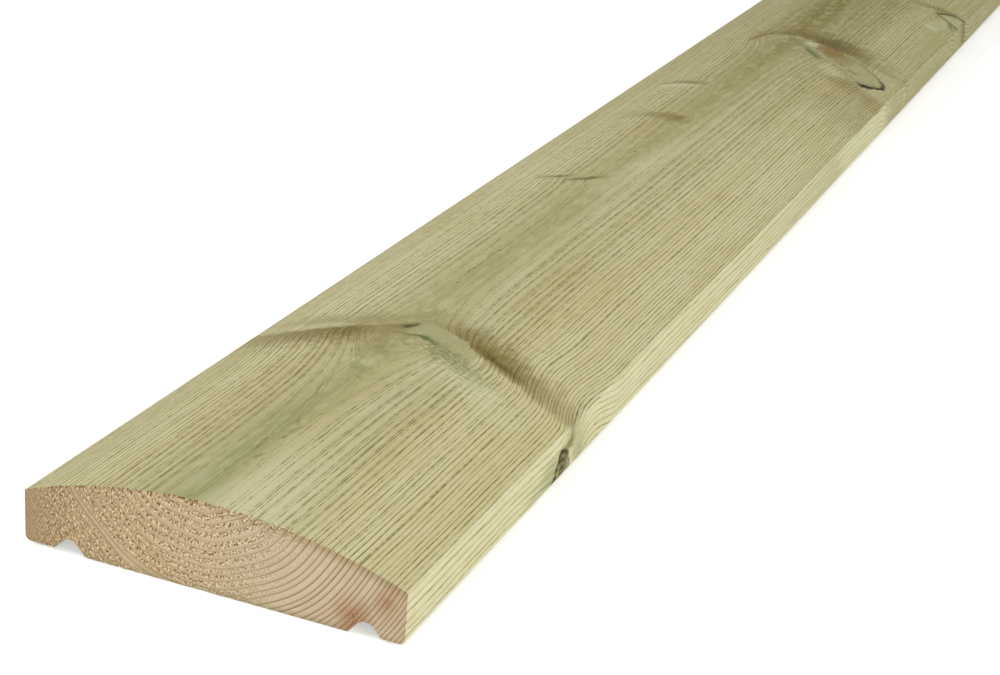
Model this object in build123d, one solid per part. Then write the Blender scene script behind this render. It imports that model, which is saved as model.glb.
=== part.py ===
"""Balcony railing board: one length of planed, pressure-treated softwood.

The section has a crowned top that sheds water to both long sides, square sides, and a flat
underside with a drip groove along each side. Outside each groove the lip stands a little clear
of the plane that the flat bears on, so that the board seats on its middle.

Frame: +X along the board, +Y across it, +Z up out of the crown. The origin is at the middle of
the length and width, on the plane of the bearing flat.
"""

from build123d import *
import os
from math import cos, radians, sin, tan

# Driving dimensions, in millimetres and degrees
board_length = 3000.0
board_width = 145.0
side_height = 20.0  # bearing plane to the top arrises, at the long sides
crown_rise = 13.0  # top of the crown above the top arrises
top_arris_radius = 0.6
lower_corner_radius = 2.2

groove_inset = 16.0  # long side to groove centreline, before the sideways shift
groove_shift = -1.7  # the pair of grooves sits this far off the crown's centreline, along Y
groove_depth = 5.2  # bearing plane to the top of the groove
groove_root_radius = 4.2
groove_flank_angle = 50.0  # flank to the bearing plane
groove_mouth_radius = 0.4
lip_relief = 0.7  # lip outside each groove, above the bearing plane

# Places that follow from the driving dimensions
half_width = board_width / 2
left_groove_y = half_width - groove_inset + groove_shift
right_groove_y = -half_width + groove_inset + groove_shift
flank = radians(groove_flank_angle)
flank_top_y = groove_root_radius * sin(flank)  # where a flank meets the root, off the centreline
flank_top_z = groove_depth - groove_root_radius * (1 - cos(flank))
cutter_overrun = groove_depth  # how far the cutters' outlines reach below the bearing plane


def flank_offset(z):
    """How far a groove's flank stands from the groove's centreline at height z."""
    return flank_top_y + (flank_top_z - z) / tan(flank)


def blank_section():
    """The planed blank: flat underside, square sides and an arched top, before the under-cuts."""
    with BuildSketch(Plane.YZ) as blank:
        with BuildLine():
            arch = ThreePointArc(
                (half_width, side_height), (0, side_height + crown_rise), (-half_width, side_height)
            )
            Polyline(arch @ 1, (-half_width, 0), (half_width, 0), arch @ 0)
        make_face()
    return blank.sketch


def lip_cut(groove_y, side_y):
    """The shallow rebate that lifts one lip clear of the bearing plane, from the groove to the side."""
    with BuildSketch(Plane.YZ) as cut:
        with Locations(((groove_y + side_y) / 2, lip_relief)):
            Rectangle(abs(side_y - groove_y), lip_relief + cutter_overrun, align=(Align.CENTER, Align.MAX))
    return cut.sketch


def groove_cut(groove_y):
    """One drip groove: a round root between two straight flanks that flare to the mouth."""
    mouth_y = flank_offset(-cutter_overrun)
    with BuildSketch(Plane.YZ) as cut:
        with BuildLine():
            root = ThreePointArc(
                (groove_y + flank_top_y, flank_top_z),
                (groove_y, groove_depth),
                (groove_y - flank_top_y, flank_top_z),
            )
            Polyline(
                root @ 1,
                (groove_y - mouth_y, -cutter_overrun),
                (groove_y + mouth_y, -cutter_overrun),
                root @ 0,
            )
        make_face()
    return cut.sketch


def ease(section, y, z, radius):
    """Round the section's corner at (y, z)."""
    corner = section.vertices().sort_by_distance((0, y, z))[0]
    return fillet(corner, radius)


def board_section():
    """The finished section, with its arrises eased."""
    section = blank_section()
    for groove_y, outward in ((left_groove_y, 1), (right_groove_y, -1)):
        side_y = outward * half_width
        section -= lip_cut(groove_y, side_y)
        section -= groove_cut(groove_y)
        section = ease(section, side_y, side_height, top_arris_radius)
        section = ease(section, side_y, lip_relief, lower_corner_radius)
        lip_edge_y = groove_y + outward * flank_offset(lip_relief)
        section = ease(section, lip_edge_y, lip_relief, groove_mouth_radius)
        flat_edge_y = groove_y - outward * flank_offset(0)
        section = ease(section, flat_edge_y, 0, groove_mouth_radius)
    return section


def railing_board():
    """The section run along the whole length, with both ends cut square."""
    return extrude(board_section(), amount=board_length / 2, dir=(1, 0, 0), both=True)


os.makedirs("parts", exist_ok=True)
board = railing_board()
export_step(board, "parts/railing_board.step")
print("volume, litres:", round(board.volume / 1e6, 3), "box:", board.bounding_box().size)
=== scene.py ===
"""Dresses the balcony railing board: one planed length of pressure-treated pine on a pale floor.

The timber is one mesh. Its colour comes from a growth model of the log that it was sawn from: year
rings round a pith line above the crown, and branches that run out of the pith through the board. The
rings, knots and end grain of every face come from that one model, so they agree at the edges.

Lengths of the wood are in millimetres, with x from the near end. The scene is in metres.
"""

import math
from typing import NamedTuple

import bmesh
import bpy
import numpy as np
from mathutils import Matrix, Vector, noise as mesh_noise


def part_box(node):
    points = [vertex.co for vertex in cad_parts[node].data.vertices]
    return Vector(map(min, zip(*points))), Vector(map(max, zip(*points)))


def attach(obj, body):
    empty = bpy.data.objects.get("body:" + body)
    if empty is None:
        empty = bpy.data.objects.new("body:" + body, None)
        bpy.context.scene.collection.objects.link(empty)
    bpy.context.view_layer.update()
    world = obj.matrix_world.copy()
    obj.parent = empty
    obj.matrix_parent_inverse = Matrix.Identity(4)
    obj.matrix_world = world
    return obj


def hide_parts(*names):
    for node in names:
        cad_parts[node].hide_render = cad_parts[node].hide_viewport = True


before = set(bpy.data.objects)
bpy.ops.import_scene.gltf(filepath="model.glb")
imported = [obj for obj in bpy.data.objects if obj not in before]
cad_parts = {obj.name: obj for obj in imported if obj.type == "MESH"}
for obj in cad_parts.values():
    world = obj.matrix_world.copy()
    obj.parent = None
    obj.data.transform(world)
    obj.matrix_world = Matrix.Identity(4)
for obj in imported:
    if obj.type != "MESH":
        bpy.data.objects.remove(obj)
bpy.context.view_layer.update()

NODE = "railing_board"
MM = 0.001

# The board's section, in millimetres
low_corner, high_corner = (np.array(corner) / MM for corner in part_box(NODE))
LENGTH, WIDTH, HEIGHT = high_corner - low_corner
HALF = WIDTH / 2
SIDE_HEIGHT = 20.0  # bearing plane to the top arrises
ARRIS_RADIUS = 0.6
CORNER_RADIUS = 2.2
LIP_RELIEF = 0.7
GROOVE_PLACES = (54.8, -58.2)
GROOVE_DEPTH = 5.2
GROOVE_ROOT_RADIUS = 4.2
GROOVE_FLANK = math.radians(50)
GROOVE_MOUTH = 0.3  # how far the groove's mouth is eased


class Field:
    """A number or vector that a material's nodes work out. Arithmetic on it adds the nodes."""

    def __init__(self, socket):
        self.socket = socket

    def __add__(self, other):
        return math_node("ADD", self, other)

    def __sub__(self, other):
        return math_node("SUBTRACT", self, other)

    def __rsub__(self, other):
        return math_node("SUBTRACT", other, self)

    def __mul__(self, other):
        return math_node("MULTIPLY", self, other)

    def __truediv__(self, other):
        return math_node("DIVIDE", self, other)

    def __rtruediv__(self, other):
        return math_node("DIVIDE", other, self)

    __radd__ = __add__
    __rmul__ = __mul__


def plug(value, socket):
    """Links a field to a socket, or sets a plain value on it."""
    if isinstance(value, Field):
        socket.id_data.links.new(value.socket, socket)
    else:
        socket.default_value = value


def tree_of(values):
    """The node tree that the first field among some values belongs to."""
    return next(value for value in values if isinstance(value, Field)).socket.id_data


def math_node(operation, *values):
    """The field that a Math node gives for some numbers or fields."""
    node = tree_of(values).nodes.new("ShaderNodeMath")
    node.operation = operation
    for value, socket in zip(values, node.inputs):
        plug(value, socket)
    return Field(node.outputs[0])


def either(plain, operation):
    """A function that works on arrays by numpy and on fields by a Math node."""

    def run(*values):
        if any(isinstance(value, Field) for value in values):
            return math_node(operation, *values)
        return plain(*values)

    return run


sin = either(np.sin, "SINE")
sqrt = either(np.sqrt, "SQRT")
floor = either(np.floor, "FLOOR")
absolute = either(np.abs, "ABSOLUTE")
maximum = either(np.maximum, "MAXIMUM")
arctan2 = either(np.arctan2, "ARCTAN2")


def smooth(start, end, value):
    """Goes from 0 at start to 1 at end with no corners. It falls where start is above end."""
    if not isinstance(value, Field):
        share = np.clip((value - start) / (end - start), 0, 1)
        return share * share * (3 - 2 * share)
    node = tree_of([value]).nodes.new("ShaderNodeMapRange")
    node.interpolation_type = "SMOOTHSTEP"
    for setting, socket in zip((value, start, end), node.inputs):
        plug(setting, socket)
    return Field(node.outputs[0])


def between(first, second, share):
    """The value that lies this share of the way from the first to the second."""
    return first + (second - first) * share


def parts(point):
    """A point's x, y and z."""
    if not isinstance(point, Field):
        return point[..., 0], point[..., 1], point[..., 2]
    node = tree_of([point]).nodes.new("ShaderNodeSeparateXYZ")
    plug(point, node.inputs[0])
    return [Field(output) for output in node.outputs]


def joined(x, y, z):
    """A point from its x, y and z."""
    values = (x, y, z)
    if not any(isinstance(value, Field) for value in values):
        return np.stack(np.broadcast_arrays(*values), -1)
    node = tree_of(values).nodes.new("ShaderNodeCombineXYZ")
    for value, socket in zip(values, node.inputs):
        plug(value, socket)
    return Field(node.outputs[0])


def noise(x, y, z, detail):
    """Soft noise about 0.5, with cells one unit of x, y and z wide."""
    node = tree_of([x, y, z]).nodes.new("ShaderNodeTexNoise")
    plug(joined(x, y, z), node.inputs["Vector"])
    plug(1.0, node.inputs["Scale"])
    plug(detail, node.inputs["Detail"])
    return Field(node.outputs["Fac"])


def patches(place, cell):
    """Noise in patches of a size along the board and across it."""
    x, y, z = place
    along, across, detail = cell
    return noise(x / along, y / across, z / across, detail)


def chance(value):
    """An even draw from 0 to 1 that is fixed for each whole number."""
    node = tree_of([value]).nodes.new("ShaderNodeTexWhiteNoise")
    node.noise_dimensions = "1D"
    plug(value, node.inputs["W"])
    return Field(node.outputs["Value"])


def colour(red, green, blue):
    """A screen colour, each part from 0 to 255, as the linear colour that a socket takes."""
    shares = [part / 255 for part in (red, green, blue)]
    return [s / 12.92 if s <= 0.04045 else ((s + 0.055) / 1.055) ** 2.4 for s in shares] + [1.0]


def blend(first, second, share):
    """One colour laid over another by a share."""
    node = tree_of([share]).nodes.new("ShaderNodeMix")
    node.data_type = "RGBA"
    plug(share, node.inputs["Factor"])
    inputs = [socket for socket in node.inputs if socket.type == "RGBA"]
    plug(first, inputs[0])
    plug(second, inputs[1])
    return Field(next(socket for socket in node.outputs if socket.type == "RGBA"))


class Branch(NamedTuple):
    """One branch in the log. The tree's tip is towards -x."""

    route: tuple  # places along its axis, outwards from the pith
    radii: tuple  # its radius at each place
    swell: tuple  # how far the rings on the tip's side are drawn out at each place
    lift: tuple  # how far those on the foot's side are held back, or drawn out where it is below 0
    reach: tuple  # how far that carries, on the tip's side and on the foot's side
    spread: float = 1.0  # how much sooner it fades across the board than along it


FIRST_WHORL = (
    Branch(
        ((181, 9, 38), (172, -12, 33), (161, -35, 25), (150, -58, 13), (142, -76, 2)),
        (2, 3, 4, 5, 6),
        (6, 5, 3, 2.5, 3.5),
        (-4, -2.5, 1.8, 3.2, 2),
        (20, 24),
    ),
    Branch(
        ((181, 10, 40), (173, 30, 36), (163, 55, 33), (158, 76, 30)),
        (1, 1, 1, 1),
        (7, 7.5, 6, 5),
        (-3, 0.5, 1, 1),
        (13, 16),
    ),
    Branch(
        ((183, 10, 54), (177, 11, 30), (170, 11, -5)),
        (1, 1, 1),
        (15, 15, 10),
        (-6, -6, -3),
        (28, 7),
        1.7,
    ),
)
TWIGS = (
    Branch(((417, 12, 40), (413, 25, 33), (407, 40, 28)), (1, 1, 1), (2.4, 2.8, 1.8), (-1, 0, 0), (9, 5)),
    Branch(((556, 14, 40), (553, 40, 31)), (1, 1), (1.4, 1.2), (0, 0), (11, 5)),
    Branch(((634, 26, 36), (630, 50, 30)), (1, 1), (1.2, 1.0), (1.0, 1.0), (8, 8)),
)
SECOND_WHORL = (
    Branch(
        ((785, 10, 44), (764, -16, 36), (742, -40, 27), (722, -61, 17), (708, -80, 8)),
        (2, 6, 11, 11, 8),
        (7, 6, 5, 4.5, 2),
        (-3, -2, 1.5, 1.5, 1),
        (18, 18),
    ),
    Branch(
        ((785, 10, 44), (772, 45, 36), (764, 76, 30)),
        (1, 2, 3),
        (6, 5, 4),
        (-2, 0, 0),
        (18, 12),
    ),
    Branch(((787, 10, 54), (780, 11, 30), (774, 11, -5)), (1, 1, 1), (9, 9, 6), (-4, -4, -2), (20, 7), 1.6),
)
THIRD_WHORL = (
    Branch(
        ((1000, 10, 50), (970, -35, 32), (948, -66, 20), (940, -80, 14)),
        (2, 4, 6, 6),
        (5, 4, 4, 4),
        (-2, 1, 2, 2),
        (20, 16),
    ),
    Branch(((1000, 10, 44), (984, 50, 35), (976, 76, 30)), (1, 2, 3), (5, 4.5, 4), (0, 0, 0), (20, 12)),
)

# The log's pith line and its year rings
PITH_Y = (6.0, 10.0)  # at the near end, and past the first whorl
PITH_STEP = (110.0, 192.0)
PITH_Z = 54.0
FIRST_YEAR_RADIUS = 21.0
FIRST_YEAR = 0.65
INNER_RATE = 0.30  # rings for each millimetre near the pith
SLOWING_RADIUS = 38.0
SLOWING = 0.0038
POOR_SIDE = ((28.0, 0.04), (70.0, 0.2))  # past these radii the left side's rings are finer
UNEVEN_YEARS = ((0.8, 0.1, 0.0), (1.9, 0.04, 1.0))  # good and poor years: waves, height, start
PINK_BAND = (54.6, 57.2)  # radii of a smooth, paler ring in the end grain
PINK_SIDE = (-5.0, 15.0)  # where across the board it sets in
PITH_SWAY = (170.0, 0.6, 0.9)  # length, start and height of the pith's waves along the board
RING_WAVES = ((61.0, 2.0, 0.35), (23.0, 9.0, 0.10), (310.0, 11.0, 0.25))  # length, turns, height
POOR_TURN = (0.15, 0.8)  # how far round the pith the poor side starts, and is full
POOR_BLEND = 2.0  # how far either side of its radius the finer rate sets in


def growth(point, drawn_out=0.0):
    """The year in which the wood at a point grew, how deep it is in that year's ring, its distance
    from the pith, its turn round the pith, and how many rings there are in a millimetre."""
    x, y, z = parts(point)
    from_pith_y = y - between(*PITH_Y, smooth(*PITH_STEP, x))
    sway_length, sway_start, sway_height = PITH_SWAY
    from_pith_z = PITH_Z + sin(x / sway_length + sway_start) * sway_height - z
    distance = sqrt(from_pith_y * from_pith_y + from_pith_z * from_pith_z)
    turn = arctan2(from_pith_y, from_pith_z)
    for length, turns, height in RING_WAVES:
        distance = distance + sin(x / length + turn * turns) * height
    distance = distance - drawn_out
    slowed = maximum(distance - SLOWING_RADIUS, 0.0)
    year = (distance - FIRST_YEAR_RADIUS) * INNER_RATE + slowed * slowed * SLOWING
    rate = slowed * (2 * SLOWING) + INNER_RATE
    poor = smooth(*POOR_TURN, turn)
    for radius, finer in POOR_SIDE:
        year = year + maximum(distance - radius, 0.0) * poor * finer
        rate = rate + smooth(radius - POOR_BLEND, radius + POOR_BLEND, distance) * poor * finer
    for waves, height, start in UNEVEN_YEARS:
        year = year + sin(distance * waves + start) * height
        rate = rate + sin(distance * waves + (start + math.pi / 2)) * (height * waves)
    year = year + FIRST_YEAR
    rate = maximum(rate, INNER_RATE / 2)
    depth = (1.0 - (year - floor(year))) / rate
    return year, depth, distance, turn, rate


def along_route(point, route):
    """The nearest place on a route to each point: how far along, counted in its legs, and what lies
    between, as a vector."""
    nearest = np.full(len(point), np.inf)
    legs = np.zeros(len(point))
    between_them = np.zeros(point.shape)
    for leg, (start, end) in enumerate(zip(route, route[1:])):
        run = np.subtract(end, start).astype(float)
        share = np.clip((point - start) @ run / (run @ run), 0, 1)
        off = point - start - share[:, None] * run
        nearer = np.linalg.norm(off, axis=1) < nearest
        nearest[nearer] = np.linalg.norm(off, axis=1)[nearer]
        legs[nearer] = leg + share[nearer]
        between_them[nearer] = off[nearer]
    return legs, between_them


HUMP = (0.8, 2.3)  # where the foot's side is held back most, and no more, in shares of the reach
TIP_TO_FOOT = (-6.0, 8.0)  # along the board, from the tip's side of a branch to the foot's side


def drawn_by(point, branch):
    """How far a branch draws the rings out at each point."""
    legs, off = along_route(point, branch.route)
    places = np.arange(len(branch.route))
    radius, swell, lift = (
        np.interp(legs, places, values) for values in (branch.radii, branch.swell, branch.lift)
    )
    away = np.linalg.norm(off * (1, branch.spread, 1), axis=1)
    gap = np.maximum(away - radius, 0)
    tip_reach, foot_reach = branch.reach
    tip_side = swell * np.exp(-gap / tip_reach)
    most, over = HUMP
    hump = smooth(0.0, most, gap / foot_reach) * smooth(over, most, gap / foot_reach)
    foot_side = np.where(lift > 0, -lift * hump, -lift * np.exp(-gap / foot_reach))
    return between(tip_side, foot_side, smooth(*TIP_TO_FOOT, off[:, 0]))


class Stroke(NamedTuple):
    """A stroke of colour on a face: a crack, a line of bark, a knot's heart or a tint."""

    kind: int
    route: tuple  # places with x and y on the top, or x and z on the right side
    widths: tuple  # how far it reaches, towards the near end and towards the far end
    strengths: tuple  # at each place, or one for all
    depth: float = 0.0  # how far it lies below the planed face


DARK, BROWN, GREEN, HEART, RED, PALE, SPECKLED = range(7)
CORE_SHARES = (0.35, 0.12, 0.2, 0.75, 0.5, 0.2, 0.4)  # where in its width each kind starts to fade
STROKE_REACH = 1.6  # how far past its width an uneven edge can go
EDGE_WAVES = (((3.5, 3.5, 3.5), 0.45), ((2.2, 0.9, 0.9), 0.3))  # cells and heights of the unevenness

FIRST_TOP = (
    # The spike to the right, with its crotch and the dense wood behind it
    Stroke(PALE, ((150, -20), (143, -38), (132, -52)), (16, 8), (0.5, 0.9, 0.4)),
    Stroke(SPECKLED, ((164, -8), (155, -22), (146, -36), (136, -52)), (14, 8), (0.65, 0.65, 0.35, 0.1)),
    Stroke(GREEN, ((163, -10), (156, -22), (147, -36)), (9, 5), (0.6, 0.6, 0.3)),
    Stroke(HEART, ((181, 6), (176, -4), (170, -13), (164, -20)), (6, 6.5), (0.8, 1, 1, 0.8)),
    Stroke(
        BROWN,
        ((187, 3), (180, -12), (171, -25), (164, -37), (158, -49), (152, -62), (149, -72)),
        (4, 21),
        (0.3, 0.9, 1, 1, 0.75, 0.5, 0.4),
    ),
    Stroke(DARK, ((174, -22), (167, -33), (161, -45)), (1.5, 3.5), (0.2, 0.4, 0.2)),
    Stroke(GREEN, ((172, 2), (166, -9), (159, -19)), (3, 2.5), (0.9, 0.9, 0.5)),
    Stroke(
        DARK,
        ((171, 12), (170.5, 7), (171.5, 3), (170.5, 0), (167, -6)),
        (1.5, 1.5),
        (0.2, 0.4, 0.45, 0.55, 0.3),
    ),
    # The pith and the branch to the left
    Stroke(BROWN, ((185, 8), (178, 12), (174, 22)), (7, 5), (0.7, 0.8, 0.6)),
    Stroke(BROWN, ((182, 8.5), (178.5, 11.8)), (4, 4), (1,)),
    Stroke(DARK, ((181.5, 9.2), (179, 11.2)), (2.4, 2.4), (0.65,), 0.4),
    Stroke(GREEN, ((187, 21), (182, 13)), (4, 4), (0.35,)),
    Stroke(BROWN, ((175, 21), (171, 31), (167, 42), (163, 55), (160, 72)), (27, 3), (0.6, 1, 1, 0.8, 0.5)),
    Stroke(BROWN, ((178, 25), (176, 45), (172, 62)), (3, 16), (0.4, 0.4, 0.2)),
    # The tips of the nested arcs
    Stroke(BROWN, ((150, 14), (168, 16)), (14, 10), (0.3, 0.5)),
    Stroke(GREEN, ((133, 12), (128, 7)), (4, 4), (0.5,)),
    Stroke(PALE, ((134.5, 9), (136, 8)), (5, 5), (0.5,)),
    Stroke(GREEN, ((153, 12), (151.5, 9)), (3.5, 3.5), (0.5,)),
    # The brown wood over the side knot
    Stroke(BROWN, ((153, -66), (151, -72.5)), (5, 8), (0.2, 0.6)),
)
FIRST_SIDE = (
    Stroke(GREEN, ((156, 14), (160, 3)), (8, 9), (0.35, 0.7)),
    Stroke(GREEN, ((132, 5), (112, 0)), (13, 13), (0.6, 0.4)),
    Stroke(BROWN, ((150.5, 19), (150.5, 13.5)), (4.5, 5.5), (0.8, 1)),
    Stroke(BROWN, ((144, 9), (139, 0)), (8, 8), (1.0,)),
    Stroke(DARK, ((144, 8), (140, 0)), (5, 5), (0.25,)),
    Stroke(PALE, ((139.5, 9.6), (143, 10.1), (146.5, 7.8), (147.5, 4)), (0.8, 0.8), (1,)),
    Stroke(PALE, ((140.5, 6.8), (143.3, 7), (145.2, 4.4)), (0.8, 0.8), (1,)),
    Stroke(DARK, ((140.5, 11.8), (136.5, 6), (133, 0)), (1.8, 1.8), (0.9,), 0.8),
    Stroke(DARK, ((139, 11.3), (143, 11.8), (147.6, 9.4), (149.4, 5), (149, 1)), (1.0, 1.0), (0.85,), 0.4),
    Stroke(DARK, ((139.5, 8.2), (143, 8.6), (146, 6.2), (146.8, 2)), (0.8, 0.8), (0.85,), 0.3),
    Stroke(DARK, ((140.5, 5), (143.3, 5.3), (144.4, 2.5), (144, 1)), (0.8, 0.8), (0.85,), 0.3),
)
SECOND_TOP = (
    Stroke(
        BROWN,
        ((788, 6), (779, -9), (770, -21), (762, -33), (754, -47)),
        (4, 38),
        (0.7, 1, 1, 0.8, 0.4),
    ),
    Stroke(DARK, ((784, -4), (778, -14), (771, -24)), (5, 26), (0.2, 0.4, 0.25)),
    Stroke(BROWN, ((704, -46), (688, -66)), (22, 14), (0.55,)),
    Stroke(BROWN, ((665, -56), (640, -70)), (40, 26), (0.25,)),
    Stroke(SPECKLED, ((748, -6), (732, -24), (716, -44)), (12, 8), (0.7, 0.5, 0.4)),
    Stroke(PALE, ((770, -5), (758, -15)), (6, 7), (0.8,)),
    Stroke(PALE, ((712, -36), (726, -28)), (9, 7), (0.5,)),
    Stroke(HEART, ((752, -30), (740, -43), (728, -55)), (14, 14), (1,)),
    Stroke(RED, ((764, -17), (757, -24), (748, -32)), (10, 10), (1, 1, 0.5)),
    Stroke(GREEN, ((769, 1), (756, -8), (740, -18)), (6, 5), (0.8, 1, 0.9)),
    Stroke(DARK, ((757, -6), (748, -12), (740, -18)), (2.2, 1.4), (0.2, 0.45, 0.3)),
    Stroke(GREEN, ((721, -57), (724, -61)), (3.5, 3.5), (0.5,)),
    Stroke(PALE, ((721, -58), (725, -62)), (3, 3), (0.9,)),
    Stroke(BROWN, ((742, -31), (735, -38), (731, -47)), (3.5, 3.5), (0.8,)),
    Stroke(DARK, ((739.5, -33.5), (737.5, -36)), (1.5, 1.5), (0.45,), 0.3),
    Stroke(DARK, ((732, -42), (730.5, -45.5)), (1.7, 1.7), (0.6,), 0.5),
    Stroke(
        DARK,
        ((761, -28), (757, -37), (751, -47), (742, -57), (733, -63)),
        (1.5, 1.5),
        (0.1, 0.25, 0.35, 0.5, 0.8),
        0.4,
    ),
    Stroke(BROWN, ((715, -52), (722, -42), (732, -33), (744, -24)), (2.0, 2.0), (0.8, 0.6, 0.5, 0.4)),
    Stroke(DARK, ((713.5, -53.5), (715.5, -57.5)), (4.4, 4.4), (1,), 0.6),
    Stroke(DARK, ((715.5, -57.5), (720, -61.5)), (2.6, 2.6), (0.9,), 0.5),
    Stroke(DARK, ((719, -61.5), (724, -64.4), (732, -63.8)), (2.1, 2.1), (0.95, 1, 0.8), 0.5),
    # The pith and the small branch to the left
    Stroke(PALE, ((784, 9), (781, 11.5)), (5, 5), (0.7,)),
    Stroke(GREEN, ((783, 9), (781.5, 11.2)), (3, 3), (0.8,)),
    Stroke(DARK, ((783, 9.5), (782, 11)), (1.9, 1.9), (0.8,), 0.5),
    Stroke(
        BROWN,
        ((765, 33.5), (775, 33), (784, 30), (790, 24), (794, 14)),
        (3.5, 3.5),
        (0.5, 1, 1, 0.8, 0.5),
    ),
)
THIRD_TOP = (
    Stroke(BROWN, ((962, -36), (966, -50), (968, -60)), (9, 10), (0.4, 0.7, 0.7)),
    Stroke(GREEN, ((930, -24), (948, -44)), (9, 9), (0.3,)),
    Stroke(GREEN, ((916, -60), (940, -64), (975, -67)), (8, 8), (0.5, 0.55, 0.5)),
    Stroke(PALE, ((912, -58), (932, -62), (952, -65), (975, -67)), (9, 7), (1, 1, 1, 0.6)),
    Stroke(DARK, ((955, -54), (962, -57.5), (968, -64)), (2.6, 2.6), (0.7, 0.7, 0.5), 0.5),
    Stroke(DARK, ((950, -57), (945, -64), (938, -71)), (2.8, 2.8), (0.5, 0.6, 0.6), 0.3),
    Stroke(DARK, ((969, -63), (968, -68), (966, -72)), (3.6, 3.6), (0.4, 0.6, 0.7), 0.3),
    Stroke(DARK, ((938, -66), (928, -70)), (2.2, 2.2), (0.45,)),
)
THIRD_SIDE = (
    Stroke(BROWN, ((958, 18), (970, 5)), (12, 10), (0.6, 0.4)),
    Stroke(DARK, ((963, 20), (968, 11), (966, 3)), (3, 4), (0.45, 0.4, 0.2)),
)
TWIG_TOP = (
    Stroke(PALE, ((395, 4), (450, 0), (510, -5)), (9, 12), (0.2, 0.45, 0.2)),
    Stroke(HEART, ((414, 29), (413, 22)), (4, 4), (0.4,)),
    Stroke(BROWN, ((411, 44), (412, 35), (415, 29)), (4.5, 3.0), (0.3, 0.8, 0.5)),
    Stroke(BROWN, ((407, 26), (411, 19), (416, 12)), (4.5, 4.5), (0.6, 0.9, 0.5)),
    Stroke(DARK, ((410.5, 37), (411.5, 33.5), (414, 30)), (1.5, 1.5), (0.1, 0.35, 0.2), 0.2),
    Stroke(DARK, ((407, 25), (410, 20), (414.5, 15)), (1.5, 1.5), (0.2, 0.45, 0.3), 0.2),
    Stroke(BROWN, ((549, 14), (553, 25), (555, 42)), (16, 6), (0.9, 0.6, 0.3)),
    Stroke(PALE, ((627, 50), (627, 32)), (5, 3), (0.7,)),
    Stroke(BROWN, ((634, 50), (635.5, 38), (632, 27)), (3.0, 7), (0.4, 0.8, 0.6)),
    # The green streak in the heart of the near end
    Stroke(GREEN, ((-8, 8), (40, 9.5), (85, 10), (130, 9)), (9, 8), (0.3, 0.3, 0.25, 0.1)),
    Stroke(PALE, ((-20, -12), (30, -14), (70, -12)), (25, 25), (0.75, 0.5, 0.1)),
)
TWIG_SIDE = (Stroke(PALE, ((615, 7), (690, 7)), (45, 32), (0.8,)),)


class Whorl(NamedTuple):
    """One whorl's branches and strokes, at a place along the board."""

    branches: tuple
    top: tuple
    side: tuple
    under: tuple
    moved: float = 0.0
    mirrored: bool = False


FIRST_UNDER = (
    Stroke(BROWN, ((168, 11), (173, 11)), (8, 8), (0.7,)),
    Stroke(DARK, ((169.5, 11), (172, 11)), (3.2, 3.2), (0.85,), 0.3),
)
SECOND_UNDER = (
    Stroke(BROWN, ((772, 11), (777, 11)), (9, 9), (0.7,)),
    Stroke(HEART, ((773, 11), (776, 11)), (4, 4), (1,)),
    Stroke(DARK, ((771, 9), (774, 7), (778, 9), (779, 12)), (1.1, 1.1), (0.8,), 0.3),
)

# The last three are out of the photograph, and have the wood of the first two again
WHORLS = (
    Whorl(FIRST_WHORL, FIRST_TOP, FIRST_SIDE, FIRST_UNDER),
    Whorl(TWIGS, TWIG_TOP, TWIG_SIDE, ()),
    Whorl(SECOND_WHORL, SECOND_TOP, (), SECOND_UNDER),
    Whorl(THIRD_WHORL, THIRD_TOP, THIRD_SIDE, ()),
    Whorl(FIRST_WHORL, FIRST_TOP, (), FIRST_UNDER, 1270.0, True),
    Whorl(SECOND_WHORL, SECOND_TOP, (), SECOND_UNDER, 1180.0),
    Whorl(FIRST_WHORL, FIRST_TOP, FIRST_SIDE, FIRST_UNDER, 2290.0),
)


def in_whorl(point, whorl):
    """Points in the frame of a whorl, which is turned over at the pith line where it is mirrored."""
    place = point - (whorl.moved, 0, 0)
    if whorl.mirrored:
        place = place * (1, -1, 1) + (0, 2 * PITH_Y[1], 0)
    return place


def drawn_out(point):
    """How far all the branches draw the rings out at each point."""
    return sum(drawn_by(in_whorl(point, whorl), branch) for whorl in WHORLS for branch in whorl.branches)


# The board's outline

CROWN_RISE = HEIGHT - SIDE_HEIGHT
CROWN_RADIUS = (HALF**2 + CROWN_RISE**2) / (2 * CROWN_RISE)
CROWN_CENTRE = HEIGHT - CROWN_RADIUS


def top_height(y):
    """Height of the crown, with its arrises eased."""
    y = np.abs(y)
    arris_y = HALF - ARRIS_RADIUS
    arris_z = CROWN_CENTRE + math.sqrt((CROWN_RADIUS - ARRIS_RADIUS) ** 2 - arris_y**2)
    touch = arris_y * CROWN_RADIUS / (CROWN_RADIUS - ARRIS_RADIUS)
    crown = CROWN_CENTRE + np.sqrt(CROWN_RADIUS**2 - y**2)
    arris = arris_z + np.sqrt(np.maximum(ARRIS_RADIUS**2 - (y - arris_y) ** 2, 0))
    return np.where(y > touch, arris, crown)


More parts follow.
